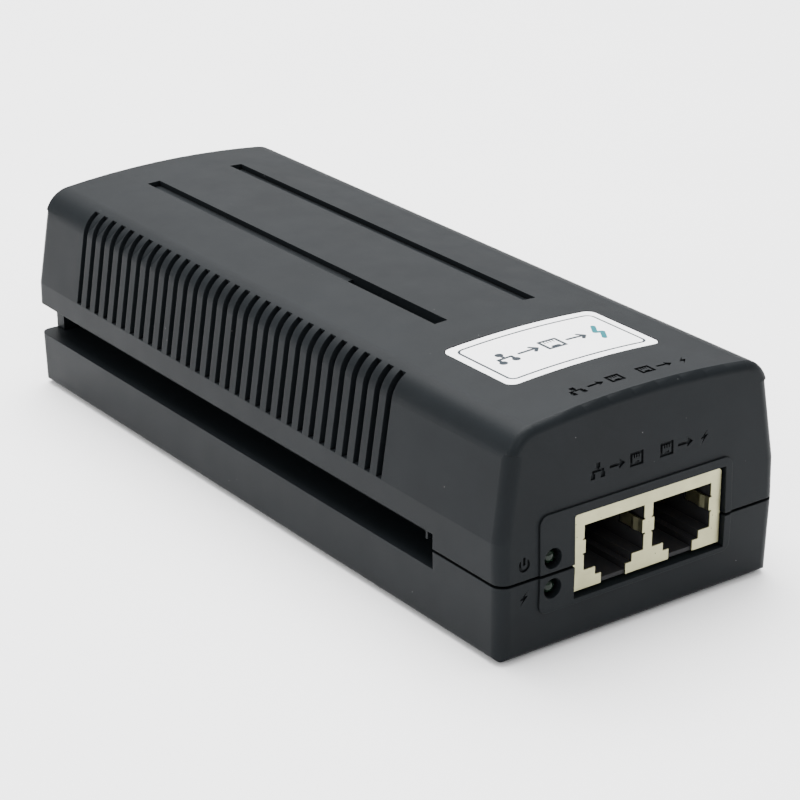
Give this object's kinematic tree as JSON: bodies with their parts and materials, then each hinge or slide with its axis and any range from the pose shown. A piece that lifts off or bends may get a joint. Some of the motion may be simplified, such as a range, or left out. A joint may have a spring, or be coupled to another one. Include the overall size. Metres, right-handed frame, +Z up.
{
  "type": "PoE injector",
  "caption": "Desktop power-over-Ethernet injector: vented two-part plastic casing with a shielded socket pair, green lamps and a recessed mains inlet.",
  "frame": {"origin": "centre of the resting footprint, on the plane the four rubber feet stand on", "axes": "+X to the right when facing the sockets, -Y towards the data and power sockets, +Y towards the mains inlet, +Z up"},
  "size_m": [0.057, 0.1446, 0.0399],
  "materials": {
    "casing": "fine spark-eroded texture, satin, charcoal grey",
    "top_label": "printed film label, satin",
    "rating_label": "printed film label, matt silver grey",
    "rubber_feet": "matt black rubber",
    "screw_steel": "zinc-plated steel",
    "main_board": "green solder mask on glass-fibre board",
    "insulation_sheet": "cream pressed board",
    "jack_shield": "nickel-plated sheet, satin",
    "contact_gold": "gold-plated wire",
    "black_plastic": "moulded, matt black",
    "lamp_lens": "tinted epoxy, polished",
    "tinned_metal": "tin and nickel plating",
    "fuse_tube": "glazed ceramic",
    "fuse_clips": "spring brass",
    "surge_varistor": "epoxy dip, blue",
    "inrush_thermistor": "dip coating, dark green",
    "x_capacitor": "moulded yellow case",
    "choke_core": "coated ferrite ring",
    "choke_windings": "enamelled copper wire",
    "bulk_capacitor": "shrink sleeve over an aluminium can",
    "heatsink": "extruded, plain",
    "chip_black": "moulded epoxy",
    "transformer_core": "sintered ferrite",
    "transformer_bobbin": "moulded, natural colour",
    "transformer_winding": "yellow winding tape",
    "y_capacitor": "epoxy dip, blue",
    "output_capacitors": "shrink sleeve over aluminium cans",
    "output_inductor": "ferrite drum with a coated winding"
  },
  "bodies": {
    "casing": {"lower_shell": "casing", "upper_shell": "casing", "top_label": "top_label", "rating_label": "rating_label", "rubber_feet": "rubber_feet", "case_screws": "screw_steel", "main_board": "main_board", "board_screws": "screw_steel", "insulation_sheet": "insulation_sheet", "jack_shield": "jack_shield", "jack_insert": "black_plastic", "contact_legs": "contact_gold", "lamp_holder": "black_plastic", "power_lamp": "lamp_lens", "poe_lamp": "lamp_lens", "inlet_housing": "black_plastic", "inlet_pins": "tinned_metal", "fuse_tube": "fuse_tube", "fuse_caps": "tinned_metal", "fuse_clips": "fuse_clips", "surge_varistor": "surge_varistor", "inrush_thermistor": "inrush_thermistor", "x_capacitor": "x_capacitor", "choke_core": "choke_core", "choke_windings": "choke_windings", "choke_base": "black_plastic", "bridge_rectifier": "chip_black", "bulk_capacitor": "bulk_capacitor", "primary_heatsink": "heatsink", "power_transistor": "chip_black", "pwm_chip": "chip_black", "transformer_core": "transformer_core", "transformer_bobbin": "transformer_bobbin", "transformer_winding": "transformer_winding", "y_capacitor": "y_capacitor", "optocoupler": "chip_black", "output_heatsink": "heatsink", "output_diode": "chip_black", "output_capacitors": "output_capacitors", "output_inductor": "output_inductor", "poe_controller": "chip_black", "line_transformers": "chip_black"},
    "data_in_spring": {"data_in_contacts": "contact_gold"},
    "poe_out_spring": {"poe_out_contacts": "contact_gold"}
  },
  "joints": [
    {"name": "data_in_contact_flex", "type": "hinge", "parent": "casing", "child": "data_in_spring", "pos_m": [-0.00549, -0.0689, 0.01977], "axis": [1, 0, 0], "range_deg": [0, 12], "stiffness_Nm_per_rad": 0.02},
    {"name": "poe_out_contact_flex", "type": "hinge", "parent": "casing", "child": "poe_out_spring", "pos_m": [0.00848, -0.0689, 0.01977], "axis": [1, 0, 0], "range_deg": [0, 12], "stiffness_Nm_per_rad": 0.02}
  ]
}
